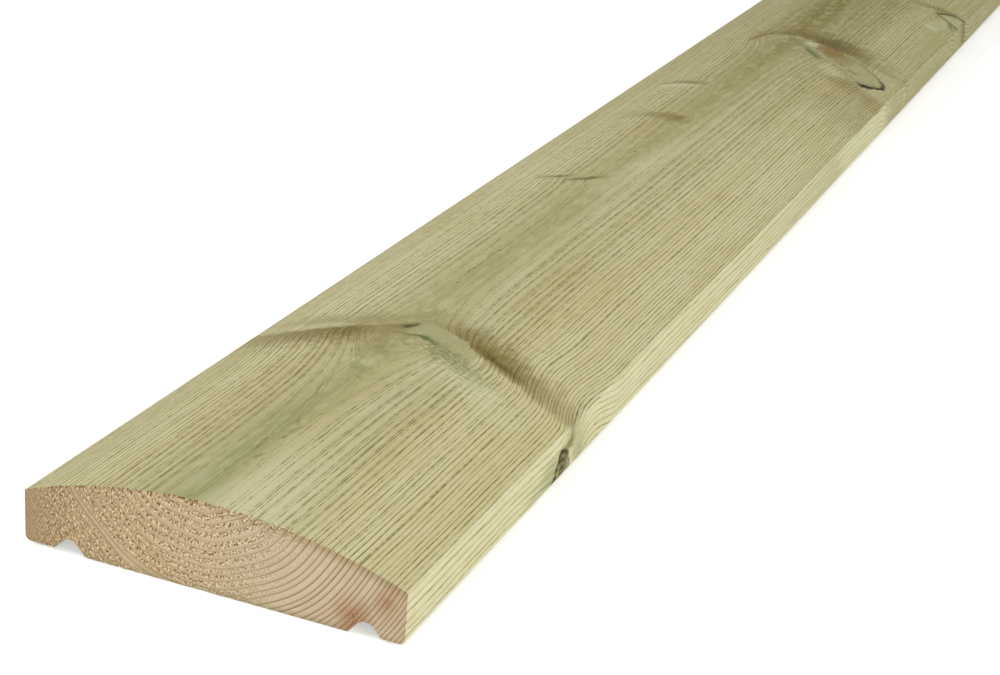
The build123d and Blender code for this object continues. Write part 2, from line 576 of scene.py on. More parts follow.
def under_height(y):
    """Height of the underside: the bearing flat, the two grooves, the lips and their round corners."""
    root_half = GROOVE_ROOT_RADIUS * math.sin(GROOVE_FLANK)
    root_z = GROOVE_DEPTH - GROOVE_ROOT_RADIUS
    flank_z = root_z + GROOVE_ROOT_RADIUS * math.cos(GROOVE_FLANK)
    left, right = GROOVE_PLACES
    height = np.where((y > left) | (y < right), LIP_RELIEF, 0.0)
    into = np.maximum(np.abs(y) - (HALF - CORNER_RADIUS), 0)
    height = height + CORNER_RADIUS - np.sqrt(np.maximum(CORNER_RADIUS**2 - into**2, 0))
    for place in GROOVE_PLACES:
        off = np.abs(y - place)
        root = root_z + np.sqrt(np.maximum(GROOVE_ROOT_RADIUS**2 - off**2, 0))
        flank = flank_z - (off - root_half) * math.tan(GROOVE_FLANK)
        groove = np.where(off < root_half, root, flank)
        ease = np.maximum(GROOVE_MOUTH - np.abs(groove - height), 0)
        height = np.maximum(groove, height) + ease**2 / (4 * GROOVE_MOUTH)
    return height


# The mesh

FACE_MARGIN = 0.5  # how near a point has to be to a face to count as on it
ARRIS_COLUMNS = (0.0, 0.04, 0.15, 0.4, 1.0)  # columns over the arrises, in shares of their radius
CORNER_COLUMNS = (1.1, 1.6)  # more columns over the lower corners, from the long side
COARSE_CELLS = 30  # across the long faces, between the round corners
COARSE_ROWS = 8  # up the long sides
END_GRIDS = ((16, 10), (4, 5))  # columns and rows in a coarse cell, at the near and the far end
GROOVE_SHARE = 4  # finer cells across the grooves
GROOVE_REACH = 8.0
END_STRIP = 2.5  # first strip of the long faces, which joins the two spacings
STATION_STEP = (10.0, 50.0)  # along the board, at a whorl and away from one
WHORL_REACH = (18.0, 40.0)  # where the spacing starts to open, and is open
CUT_ROUNDS = 5  # how often a face may be halved
BEND_LEFT = 0.1  # how far off the rings may be at a face's middle
FINEST = 0.5  # no face is cut finer than this, at the near end
EASING = ((200.0, 600.0, 1060.0, 1200.0), (1.0, 1.6, 2.0, 5.0))  # how much coarser along the board
UNDER_EASING = 5.0  # how much coarser underneath
SHARP_ANGLE = math.radians(32)
END_SEEDS = (3.0, 41.0)  # for the torn fibres of the near and the far end
FUZZ_DEPTH = 0.6  # how deep the saw tore the fibres of the ends
SAW_DEPTH = 0.12  # how deep the smooth part of an end lies
RIM_DEPTH = 0.6  # how much deeper the saw tore the fibres at the top's edge
RIM_REACH = (1.4, 0.3)  # below the top's edge
RIM_CELL = (0.85, 6.0)  # size of a chip across the board, and up it
RIM_SIDE = (-12.0, 4.0)  # where across the board the rim is chipped
ROUGH_CELL = 26.0
ROUGH_SIDE = (-42.0, 2.0)  # where across the board the rough part sets in
ROUGH_END = (73.0, 60.0)  # where it ends at the left
TORN_YEAR = (0.0, 0.12, 0.6, 0.74)  # the part of a year's ring that the saw tears
TUFT_CELL = 0.62
CLUMP_CELL = (1.9, 1.5)  # size of a clump of tufts round the rings, and across them


def section_columns(cuts):
    """The places across an end where its mesh has a column, finer at the round corners."""
    eased = [ARRIS_RADIUS * share for share in ARRIS_COLUMNS] + list(CORNER_COLUMNS)
    inner = HALF - CORNER_RADIUS
    middle = np.linspace(inner, -inner, COARSE_CELLS * cuts + 1)
    side = HALF - np.array(eased)
    return np.concatenate([side, middle, -side[::-1]]), len(eased)


def kept_on_long_faces(grid):
    """Which points of an end's rim carry on along the board. They are the same places at both ends."""
    cuts, row_cuts = grid
    columns, corner = section_columns(cuts)
    step = np.arange(len(columns)) - corner
    round_corner = (step < 0) | (step > COARSE_CELLS * cuts)
    top = round_corner | (step % cuts == 0)
    groove = np.abs(columns[:, None] - GROOVE_PLACES).min(1) < GROOVE_REACH
    under = top | (groove & (step % (cuts // GROOVE_SHARE) == 0))
    up = np.arange(COARSE_ROWS * row_cuts + 1) % row_cuts == 0
    return np.concatenate([top, up[-2::-1], under[-2::-1], up[1:-1]])


def stations():
    """The places along the board where its long faces have a ring of points, closer at the whorls."""
    fine, coarse = STATION_STEP
    places = [END_STRIP]
    spans = []
    for whorl in WHORLS:
        for branch in whorl.branches:
            along = [place[0] + whorl.moved for place in branch.route]
            spans.append((min(along), max(along)))
    while places[-1] < LENGTH - END_STRIP:
        here = places[-1]
        near = min(max(start - here, here - end, 0.0) for start, end in spans)
        places.append(here + between(fine, coarse, float(smooth(*WHORL_REACH, near))))
    places = np.array(places)
    return END_STRIP + (places - END_STRIP) * (LENGTH - 2 * END_STRIP) / (places[-1] - END_STRIP)


def grid_noise(x, y, z):
    """Noise about 0 at each point of a grid."""
    cells = joined(x, y, z)
    values = [mesh_noise.noise(Vector(cell)) for cell in cells.reshape(-1, 3)]
    return np.array(values).reshape(cells.shape[:-1])


def torn_fibres(x, y, z, seed):
    """How loose the saw left the fibres at each point of an end, how far each tuft stands out, and how
    rough that part of the end is."""
    year, _, distance, turn, _ = growth(joined(x, y, z))
    phase = year - np.floor(year)
    patchy = grid_noise(y / ROUGH_CELL, z / ROUGH_CELL, seed + 5.0)
    rough = smooth(*ROUGH_SIDE, y + z * 0.6 - 8 + patchy * 14) * smooth(*ROUGH_END, y)
    first, last = PINK_BAND
    band = smooth(first - 0.8, first, distance) * smooth(last + 0.8, last, distance)
    rough = rough * (1 - band * smooth(*PINK_SIDE, y) * 0.8)
    starts, full, fades, ends = TORN_YEAR
    rows = smooth(starts, full, phase) * smooth(ends, fades, phase)
    loose = rough * between(0.06, 1.0, rows)
    tuft = grid_noise(distance * turn / TUFT_CELL, distance / TUFT_CELL, seed)
    clump = grid_noise(distance * turn / CLUMP_CELL[0], distance / CLUMP_CELL[1], seed + 11.0)
    return loose, np.clip(0.5 + tuft * 1.5 + clump * 0.3, 0, 1), rough


def build_end(x, facing, seed, grid, points, faces, torn):
    """One sawn end as a grid of torn fibres. Returns its rim, in order round the section."""
    columns, _ = section_columns(grid[0])
    rows = COARSE_ROWS * grid[1]
    low, high = under_height(columns), top_height(columns)
    y = np.repeat(columns[:, None], rows + 1, 1)
    z = low[:, None] + (high - low)[:, None] * np.linspace(0, 1, rows + 1)
    loose, tuft, rough = torn_fibres(x, y, z, seed)
    chips = smooth(-0.1, 0.35, grid_noise(y / RIM_CELL[0], z / RIM_CELL[1], seed + 20.0))
    chips = chips * smooth(*RIM_REACH, high[:, None] - z) * smooth(*RIM_SIDE, y)
    depth = FUZZ_DEPTH * loose * (1 - tuft) + SAW_DEPTH * (1 - rough) + RIM_DEPTH * chips
    # the chips at the top's edge take the painted shade of the pits in the colour
    loose = np.maximum(loose, chips)
    tuft = tuft * (1 - chips)
    first = len(points)
    points.extend(joined(x - facing * depth, y, z).reshape(-1, 3))
    torn.extend(np.stack([loose.ravel(), tuft.ravel(), rough.ravel()], -1))
    index = first + np.arange(y.size).reshape(y.shape)
    a, b, c, d = index[:-1, :-1], index[1:, :-1], index[1:, 1:], index[:-1, 1:]
    quads = np.stack([a, b, c, d] if facing < 0 else [d, c, b, a], -1).reshape(-1, 4)
    faces.extend(quads.tolist())
    rim = [index[:, -1], index[-1, -2::-1], index[-2::-1, 0], index[0, 1:-1]]
    return np.concatenate(rim), len(quads)


def zip_strip(fine, coarse, kept, facing, faces):
    """Joins an end's rim to the first ring of the long faces, which has only the kept points."""
    places = np.flatnonzero(kept)
    count = len(fine)
    for k, start in enumerate(places):
        stop = places[(k + 1) % len(places)]
        run = [fine[(start + step) % count] for step in range((stop - start) % count + 1)]
        near, far = coarse[k], coarse[(k + 1) % len(places)]
        half = len(run) // 2
        made = [(near, run[i], run[i + 1]) for i in range(half)]
        made.append((near, run[half], far))
        made += [(far, run[i], run[i + 1]) for i in range(half, len(run) - 1)]
        faces.extend([tri if facing < 0 else tri[::-1] for tri in made])


def is_under(y, z):
    """Which points are on the underside."""
    return (z < SIDE_HEIGHT / 2) & (np.abs(y) < HALF - FACE_MARGIN)


def strokes_near(point, margin=0.0):
    """Each stroke, with the points that it may reach, how far along it they are, how far off it they
    are, and how far it reaches on their side of it."""
    _, y, z = parts(point)
    on_top = z > top_height(y) - FACE_MARGIN
    on_side = (y < -HALF + FACE_MARGIN) & (z < SIDE_HEIGHT + FACE_MARGIN)
    on_under = is_under(y, z)
    for whorl in WHORLS:
        place = in_whorl(point, whorl)
        faces = ((whorl.top, 1, on_top), (whorl.side, 2, on_side), (whorl.under, 1, on_under))
        for strokes, across, here in faces:
            for stroke in strokes:
                flat = place[:, (0, across)]
                room = max(stroke.widths) * STROKE_REACH + margin
                inside = (flat > np.min(stroke.route, 0) - room) & (flat < np.max(stroke.route, 0) + room)
                chosen = np.flatnonzero(here & inside.all(1))
                legs, off = along_route(flat[chosen], stroke.route)
                width = np.where(off[:, 0] < 0, *stroke.widths)
                yield stroke, chosen, legs, np.linalg.norm(off, axis=1), width


def marked(point):
    """How deep the strokes lie below the planed faces, and the strength of each kind of stroke."""
    depth = np.zeros(len(point))
    kinds = np.zeros((len(point), len(CORE_SHARES)))
    uneven = np.ones(len(point))
    for cell, height in EDGE_WAVES:
        uneven = uneven + grid_noise(*parts(point / cell)) * height
    for stroke, chosen, legs, off, width in strokes_near(point):
        strength = np.interp(legs, np.arange(len(stroke.strengths)), stroke.strengths)
        edge = smooth(1.0, CORE_SHARES[stroke.kind], off * uneven[chosen] / width)
        kinds[chosen, stroke.kind] = np.maximum(kinds[chosen, stroke.kind], edge * strength)
        depth[chosen] = np.maximum(depth[chosen], edge * stroke.depth)
    return depth, kinds


def corner_places(shape):
    """Every corner of a mesh in the making."""
    shape.verts.ensure_lookup_table()
    shape.verts.index_update()
    return np.array([corner.co for corner in shape.verts])


def too_coarse(shape):
    """The long faces that are too large for how the rings bend there, or for a stroke that they touch."""
    points = corner_places(shape)
    faces = [face for face in shape.faces if face.material_index == 0]
    corners = [[corner.index for corner in face.verts] for face in faces]
    counts = np.array([len(places) for places in corners])
    starts = np.cumsum(counts) - counts
    order = np.concatenate(corners)
    middle = np.add.reduceat(points[order], starts) / counts[:, None]
    size = np.array([max(edge.calc_length() for edge in face.edges) for face in faces])
    x, y, z = parts(middle)
    ease = np.where(is_under(y, z), UNDER_EASING, np.interp(x, *EASING))
    bend = np.abs(drawn_out(middle) - np.add.reduceat(drawn_out(points)[order], starts) / counts)
    coarse = (bend > BEND_LEFT * ease) & (size > 2 * FINEST * ease)
    for stroke, chosen, _, off, width in strokes_near(middle, STATION_STEP[0]):
        fade = min(stroke.widths) * (1 - CORE_SHARES[stroke.kind])
        touched = off < width + size[chosen] / 2
        coarse[chosen] |= touched & (size[chosen] > max(fade, FINEST) * ease[chosen])
    return [face for face, cut in zip(faces, coarse) if cut]


def refine(mesh):
    """Cuts the long faces finer, as far as the rings and the strokes need it."""
    shape = bmesh.new()
    shape.from_mesh(mesh)
    for _ in range(CUT_ROUNDS):
        edges = list({edge for face in too_coarse(shape) for edge in face.edges})
        bmesh.ops.subdivide_edges(shape, edges=edges, cuts=1, use_grid_fill=True)
        bmesh.ops.triangulate(shape, faces=[face for face in shape.faces if len(face.verts) > 4])
    shape.to_mesh(mesh)
    shape.free()


MAP_STRIPS = {  # left, right, low and high edge of each part of the map
    "near_top": (0.0, 1.0, 0.0, 0.2),
    "far_top": (0.0, 1.0, 0.205, 0.405),
    "under": (0.0, 1.0, 0.41, 0.59),
    "right": (0.0, 1.0, 0.595, 0.645),
    "left": (0.0, 1.0, 0.65, 0.7),
    "near_end": (0.0, 0.66, 0.71, 0.87),
    "far_end": (0.0, 0.5, 0.88, 0.99),
}
MAP_OVERRUN = STATION_STEP[1]  # how far a face at the middle of the top can reach past it
SIDE_TOLERANCE = 0.001
TOP_FOOT = SIDE_HEIGHT - ARRIS_RADIUS * 1.5  # faces above this are the top's
ROUND_STEPS = 4001  # places at which the way round a face is added up


def round_share(y, height):
    """How far round a face of the section each place across it is, as a share of the whole way."""
    across = HALF * np.sin(np.linspace(-math.pi / 2, math.pi / 2, ROUND_STEPS))
    way = np.concatenate([[0.0], np.cumsum(np.hypot(np.diff(across), np.diff(height(across))))])
    return np.interp(y, across, way / way[-1])


def add_map(mesh, point):
    """A map with no overlaps: the top in two halves, the other long faces, and the ends."""
    corners = np.empty(len(mesh.loops), int)
    mesh.loops.foreach_get("vertex_index", corners)
    starts, totals, slots = (np.empty(len(mesh.polygons), int) for _ in range(3))
    mesh.polygons.foreach_get("loop_start", starts)
    mesh.polygons.foreach_get("loop_total", totals)
    mesh.polygons.foreach_get("material_index", slots)
    x, y, z = parts(point[corners])
    middle_x, middle_y, middle_z = (
        np.repeat(np.add.reduceat(values, starts) / totals, totals) for values in (x, y, z)
    )
    side = np.repeat(np.minimum.reduceat(np.abs(y), starts), totals) > HALF - SIDE_TOLERANCE
    sawn = np.repeat(slots, totals) == 1
    top = middle_z > TOP_FOOT
    half = LENGTH / 2
    near = middle_x < half
    strip = half + MAP_OVERRUN
    round_top, round_under = round_share(y, top_height), round_share(y, under_height)
    layout = (
        ("near_end", sawn & near, 0.5 - y / WIDTH, z / HEIGHT),
        ("far_end", sawn & ~near, 0.5 + y / WIDTH, z / HEIGHT),
        ("right", ~sawn & side & (middle_y < 0), x / LENGTH, z / SIDE_HEIGHT),
        ("left", ~sawn & side & (middle_y > 0), x / LENGTH, z / SIDE_HEIGHT),
        ("near_top", ~sawn & ~side & top & near, x / strip, round_top),
        ("far_top", ~sawn & ~side & top & ~near, (x - half + MAP_OVERRUN) / strip, round_top),
        ("under", ~sawn & ~side & ~top, x / LENGTH, round_under),
    )
    spots = np.zeros((len(corners), 2))
    for name, chosen, along, across in layout:
        left, right, low, high = MAP_STRIPS[name]
        spots[chosen, 0] = between(left, right, along[chosen])
        spots[chosen, 1] = between(low, high, across[chosen])
    mesh.uv_layers.new(name="OFBake").data.foreach_set("uv", spots.ravel())


def build_board():
    """The whole timber as one closed mesh."""
    points, faces, torn = [], [], []
    near_grid, far_grid = END_GRIDS
    near_seed, far_seed = END_SEEDS
    near_rim, near_faces = build_end(0.0, -1, near_seed, near_grid, points, faces, torn)
    far_rim, far_faces = build_end(LENGTH, 1, far_seed, far_grid, points, faces, torn)
    near_kept = kept_on_long_faces(near_grid)
    ring = np.array(points)[near_rim[near_kept]]
    count = len(ring)
    first = len(points)
    places = stations()
    for place in places:
        points.extend(np.column_stack([np.full(count, place), ring[:, 1:]]))
    rings = first + np.arange(count * len(places)).reshape(-1, count)
    following = np.roll(rings, -1, 1)
    quads = np.stack([rings[:-1], following[:-1], following[1:], rings[1:]], -1)
    faces.extend(quads.reshape(-1, 4).tolist())
    zip_strip(near_rim, rings[0], near_kept, -1, faces)
    zip_strip(far_rim, rings[-1], kept_on_long_faces(far_grid), 1, faces)

    mesh = bpy.data.meshes.new("railing_board_timber")
    mesh.from_pydata(points, [], faces)
    slots = np.zeros(len(mesh.polygons), int)
    slots[: near_faces + far_faces] = 1
    mesh.polygons.foreach_set("material_index", slots)
    refine(mesh)

    places = np.empty(len(mesh.vertices) * 3)
    mesh.vertices.foreach_get("co", places)
    places = places.reshape(-1, 3)
    add_map(mesh, places)
    depth, kinds = marked(places)
    fibres = np.zeros((len(places), 3))
    fibres[: len(torn)] = torn
    depth[:first] = 0
    grain = np.zeros((len(places), 3))
    grain[:, 0] = drawn_out(places)
    places -= section_normal(places) * depth[:, None]
    mesh.vertices.foreach_set("co", ((places - (LENGTH / 2, 0, 0)) * MM).ravel())
    grain[:, 1] = kinds[:, SPECKLED]
    layers = (("fibres", fibres), ("grain", grain), ("marks", kinds[:, :3]), ("hearts", kinds[:, 3:6]))
    for name, values in layers:
        layer = mesh.attributes.new(name, "FLOAT_VECTOR", "POINT")
        layer.data.foreach_set("vector", values.ravel())
    mesh.shade_smooth()
    mesh.set_sharp_from_angle(angle=SHARP_ANGLE)
    mesh.update()
    board = bpy.data.objects.new("railing_board_timber", mesh)
    bpy.context.scene.collection.objects.link(board)
    return board


def section_normal(point):
    """The outward direction of the section at a point of the long faces."""
    _, y, z = parts(point)
    on_side = (np.abs(y) > HALF - FACE_MARGIN) & (z < SIDE_HEIGHT - FACE_MARGIN)
    under = (z < SIDE_HEIGHT / 2) & ~on_side
    slope = joined(np.zeros(y.shape), y, z - CROWN_CENTRE)
    slope /= np.linalg.norm(slope, axis=-1)[..., None]
    flat = joined(np.zeros(y.shape), np.sign(y), np.zeros(y.shape))
    slope[under] = (0, 0, -1)
    return np.where(on_side[..., None], flat, slope)


# The materials


def new_material(name):
    """A material with its shader, and the place on the wood in millimetres from the near end."""
    material = bpy.data.materials.new(name)
    material.use_nodes = True
    tree = material.node_tree
    shader = tree.nodes["Principled BSDF"]
    where = tree.nodes.new("ShaderNodeTexCoord")
    scaled = tree.nodes.new("ShaderNodeVectorMath")
    scaled.operation = "MULTIPLY_ADD"
    plug(Field(where.outputs["Object"]), scaled.inputs[0])
    plug((1 / MM,) * 3, scaled.inputs[1])
    plug((LENGTH / 2, 0.0, 0.0), scaled.inputs[2])
    return material, shader, Field(scaled.outputs[0])


def bump(shader, height, depth):
    """Raises the shader's surface by a height, in millimetres of full depth."""
    node = tree_of([height]).nodes.new("ShaderNodeBump")
    plug(1.0, node.inputs["Strength"])
    plug(depth * MM, node.inputs["Distance"])
    plug(height, node.inputs["Height"])
    plug(Field(node.outputs[0]), shader.inputs["Normal"])


# The planed faces: colours, then sizes of the noises along the board and across it, with their detail

PLANED_PALE = colour(206, 200, 160)
PLANED_WARM = colour(194, 184, 134)
# pale fibres and painted highlights along them, on the left of the top
PLANED_BRIGHT_AND_HIGHLIGHT = colour(218, 209, 170)
PLANED_GREEN = colour(146, 146, 90)
PLANED_LATE = colour(124, 114, 44)
PLANED_DASH = colour(76, 70, 12)
# paler, less yellow wood for the long sides, partly painted light: the sides are painted lighter as if lit
# more strongly
SIDE_PALE_AND_LIT = colour(206, 202, 165)
# olive wood colour, also used to paint the fall-off of the light along the board
OLIVE_WOOD_AND_SHADE = colour(112, 102, 38)
DENSE_WOOD = colour(108, 90, 24)
PALE_WOOD = colour(206, 203, 164)
HEART_WOOD = colour(168, 164, 120)
HEART_LINE = colour(124, 116, 66)
RED_WOOD = colour(124, 98, 42)
TREATED_GREEN = colour(112, 124, 70)
FLECK = colour(100, 98, 56)
CRACK = colour(24, 18, 2)
WANDERS = (((80.0, 5.0, 2.0), 1.0), ((18.0, 3.0, 1.0), 0.5), ((3.5, 0.9, 1.0), 0.14))  # with heights
BROAD_CELL = (150.0, 26.0, 2.0)
MOTTLE_CELL = (14.0, 6.0, 2.0)
SPECK_CELL = (0.9, 0.5, 1.0)
FLECK_CELL = (2.6, 0.6, 2.0)  # along the flecks, across them and into the wood
FLECK_TURN = (0.42, 0.91)  # the flecks' direction on the top
RING_RADIUS = 45.0  # turns an angle round the pith into a length round the rings
LEAST_SLOPE = 0.2
LINE_WIDTH = (0.54, 0.24)  # depth in a ring where its late wood's line starts, and is full
FAINT_WIDTH = (0.5, 0.2)  # the same for the faint lines between
FAINT_RATE = (0.46, 0.34)  # rings in a millimetre above which those are lost
HEART_SIDE = (150.0, 60.0, 0.16)  # where along the board the heart turns to the left, and how far
PLANED_ROUGHNESS = (0.62, 0.74)
PLANED_SPECULAR = 0.12
PLANED_BUMP = 0.08  # millimetres


def attribute(tree, name):
    """A mesh attribute's three parts."""
    node = tree.nodes.new("ShaderNodeAttribute")
    node.attribute_name = name
    return parts(Field(node.outputs["Vector"]))


def face_slope(tree, turn):
    """How steeply a face cuts the rings: 1 square across them, 0 along them."""
    where = tree.nodes.new("ShaderNodeTexCoord")
    _, across, up = parts(Field(where.outputs["Normal"]))
    square = across * sin(turn) - up * sin(turn + math.pi / 2)
    return maximum(sqrt(maximum(1.0 - square * square, 0.0)), LEAST_SLOPE)


def planed_wood():
    """The planed, treated long faces."""
    material, shader, point = new_material("treated_pine_planed")
    tree = material.node_tree
    x, y, z = parts(point)
    pull, speckled, _ = attribute(tree, "grain")
    dark, brown, green = attribute(tree, "marks")
    heart, red, pale = attribute(tree, "hearts")
    for cell, height in WANDERS:
        pull = pull + (patches((x, y, z), cell) - 0.5) * height
    year, depth, distance, turn, rate = growth(point, pull)
    whole = floor(year)
    strength = chance(whole)
    round_ring = turn * RING_RADIUS
    slope = face_slope(tree, turn)

    broad = patches((x, y, z), BROAD_CELL)
    streak = noise(x / 90, distance * 0.6, round_ring * 0.6, 2.0)
    fibre = noise(x / 22, distance * 2.4, round_ring * 2.4, 2.0)
    run = noise(x / 22, whole * 3.7, round_ring * 0.06, 2.0)
    dash = noise(x / 4, whole * 5.3, round_ring * 0.2, 3.0)
    mottle = patches((x, y, z), MOTTLE_CELL)
    speck = patches((x, y, z), SPECK_CELL)
    ahead, aside = FLECK_TURN
    along, across, inward = FLECK_CELL
    fleck = noise((x * ahead + y * aside) / along, (x * aside - y * ahead) / across, z / inward, 1.0)

    ragged = (streak - 0.5) * 0.5 + (broad - 0.5) * 0.6
    straight, turned, angle = HEART_SIDE
    flat = smooth(0.72, 0.06, absolute(turn - smooth(straight, turned, x) * angle) + ragged)
    side = smooth(HALF - 1.5, HALF - 0.3, absolute(y))
    left = smooth(40.0, 52.0, y)
    middle = smooth(-42.0, -20.0, y) * smooth(42.0, 26.0, y)
    # shown: how far along the board the painted fall-off of the light runs
    shown = smooth(1500.0, 1150.0, x)
    # far: the top darker and more olive along the board, partly olive wood near the whorls, partly painted
    # fall-off of the light
    far = smooth(420.0, 860.0, x) * shown
    base = blend(PLANED_PALE, PLANED_WARM, smooth(0.3, 0.72, broad) * 0.8)
    # the long sides painted paler: partly their paler wood, partly painted light
    base = blend(base, SIDE_PALE_AND_LIT, side * 0.9)
    base = blend(base, PLANED_GREEN, flat * between(0.35, 0.8, smooth(0.35, 0.6, streak)))
    base = blend(base, PLANED_WARM, smooth(0.42, 0.72, streak) * 0.5)
    # bright streaks on the left of the top: partly pale fibres, partly painted highlights
    base = blend(base, PLANED_BRIGHT_AND_HIGHLIGHT, left * smooth(0.45, 0.65, streak) * 0.4)
    base = blend(base, OLIVE_WOOD_AND_SHADE, middle * between(0.05, 0.36, broad * 0.5 + streak * 0.5))
    base = blend(base, OLIVE_WOOD_AND_SHADE, smooth(56.0, 64.0, y) * 0.1)
    olive = between(0.12, 0.85, flat * 0.5 + streak * 0.5) + middle * smooth(720.0, 860.0, x) * 0.2
    # the top darker and more olive further along: partly olive wood near the whorls, partly painted
    # fall-off of the light
    base = blend(base, OLIVE_WOOD_AND_SHADE, far * olive * between(1.0, 0.7, side))
    # painted fall-off of the light: the long sides darker further from the near end
    base = blend(base, OLIVE_WOOD_AND_SHADE, side * shown * between(0.0, 0.34, smooth(240.0, 900.0, x)))
    base = blend(base, PLANED_WARM, smooth(0.5, 0.7, mottle) * 0.35)
    base = blend(base, PLANED_PALE, smooth(0.5, 0.3, mottle) * 0.3)
    clear = maximum(between(1.0, 0.45, flat), brown)
    late = smooth(0.3, 0.95, year - whole) * clear
    base = blend(base, PLANED_LATE, late * between(0.06, 0.18, run))
    base = blend(base, PLANED_LATE, smooth(0.5, 0.75, fibre) * 0.2)
    base = blend(base, PLANED_PALE, smooth(0.48, 0.25, fibre) * 0.15)
    base = blend(base, PALE_WOOD, pale * 0.9)
    base = blend(base, DENSE_WOOD, brown * between(0.65, 1.0, smooth(0.3, 0.7, fibre)))

    kept = (1.0 - heart) * (1.0 - red) * between(1.0, 0.6, pale) * between(1.0, 0.5, speckled)
    line = smooth(*LINE_WIDTH, depth / slope) * kept * clear
    line = line * between(0.78, 1.0, smooth(-0.4, 0.2, turn))
    half = year * 2.0 + 0.4
    half_depth = (1.0 - (half - floor(half))) / (rate * 2.0)
    faint = smooth(*FAINT_WIDTH, half_depth / slope) * smooth(*FAINT_RATE, rate) * kept * clear
    here = between(0.4, 1.0, smooth(0.36, 0.62, run * 0.75 + strength * 0.25))
    base = blend(base, PLANED_LATE, faint * between(0.45, 1.0, smooth(0.42, 0.6, dash)) * 0.9)
    base = blend(base, PLANED_DASH, faint * smooth(0.48, 0.62, dash) * 0.6)
    base = blend(base, PLANED_LATE, line * here)
    base = blend(base, PLANED_DASH, line * here * smooth(0.44, 0.6, dash))
    base = blend(base, CRACK, line * brown * 0.4)
    base = blend(base, PLANED_DASH, smooth(0.58, 0.76, speck) * 0.3)

    heart_wood = blend(HEART_WOOD, HEART_LINE, smooth(0.45, 0.75, speck * 0.5 + fibre * 0.5))
    base = blend(base, heart_wood, heart)
    base = blend(base, RED_WOOD, red * between(0.75, 1.0, fibre))
    base = blend(base, TREATED_GREEN, green * between(0.5, 0.95, smooth(0.3, 0.7, fibre)))
    base = blend(base, FLECK, speckled * smooth(0.5, 0.62, fleck) * 0.85)
    base = blend(base, CRACK, dark)

    plug(base, shader.inputs["Base Color"])
    plug(between(*PLANED_ROUGHNESS, fibre), shader.inputs["Roughness"])
    plug(PLANED_SPECULAR, shader.inputs["Specular IOR Level"])
    bump(shader, fibre * 0.5 - line * 0.5, PLANED_BUMP)
    return material


# The sawn ends

SAWN_PALE = colour(214, 197, 168)
SAWN_WARM = colour(206, 180, 144)
SAWN_PINK = colour(214, 188, 156)
SAWN_LATE = colour(134, 101, 54)
# painted highlight on the torn tufts, partly their paler fibres, and painted shade in the pits between them
SAWN_TUFT_HIGHLIGHT = colour(240, 220, 176)
SAWN_PIT_SHADE = colour(134, 98, 34)
SAWN_EDGE = colour(164, 144, 98)
SAWN_GREEN = colour(156, 150, 112)
RESIN = colour(150, 92, 44)
STAIN_PLACE = (76.4, -0.89)  # from the pith, and round it
STAIN_SIZE = (10.5, 11.0)  # across the rings, and along them
LOBE_PLACE = (82.0, -1.06)
LOBE_SIZE = (7.0, 11.2)
SAWN_BROAD_CELL = (40.0, 22.0, 2.0)
SAWN_GRAIN_CELL = (0.8, 0.5, 2.0)
CRISP_SIDE = (25.0, -25.0)  # where across the board the rings turn crisp and dark at the top's edge
LEFT_SIDE = (25.0, 75.0)  # where the wood is darker
SAWN_ROUGHNESS = 0.85
SAWN_SPECULAR = 0.2
SAWN_BUMP = 0.12  # millimetres


def round_spot(distance, turn, place, size):
    """How far off a spot is, across the rings and along them, as a share of its size."""
    across = (distance - place[0]) / size[0]
    along = (turn - place[1]) * (place[0] / size[1])
    return sqrt(across * across + along * along)


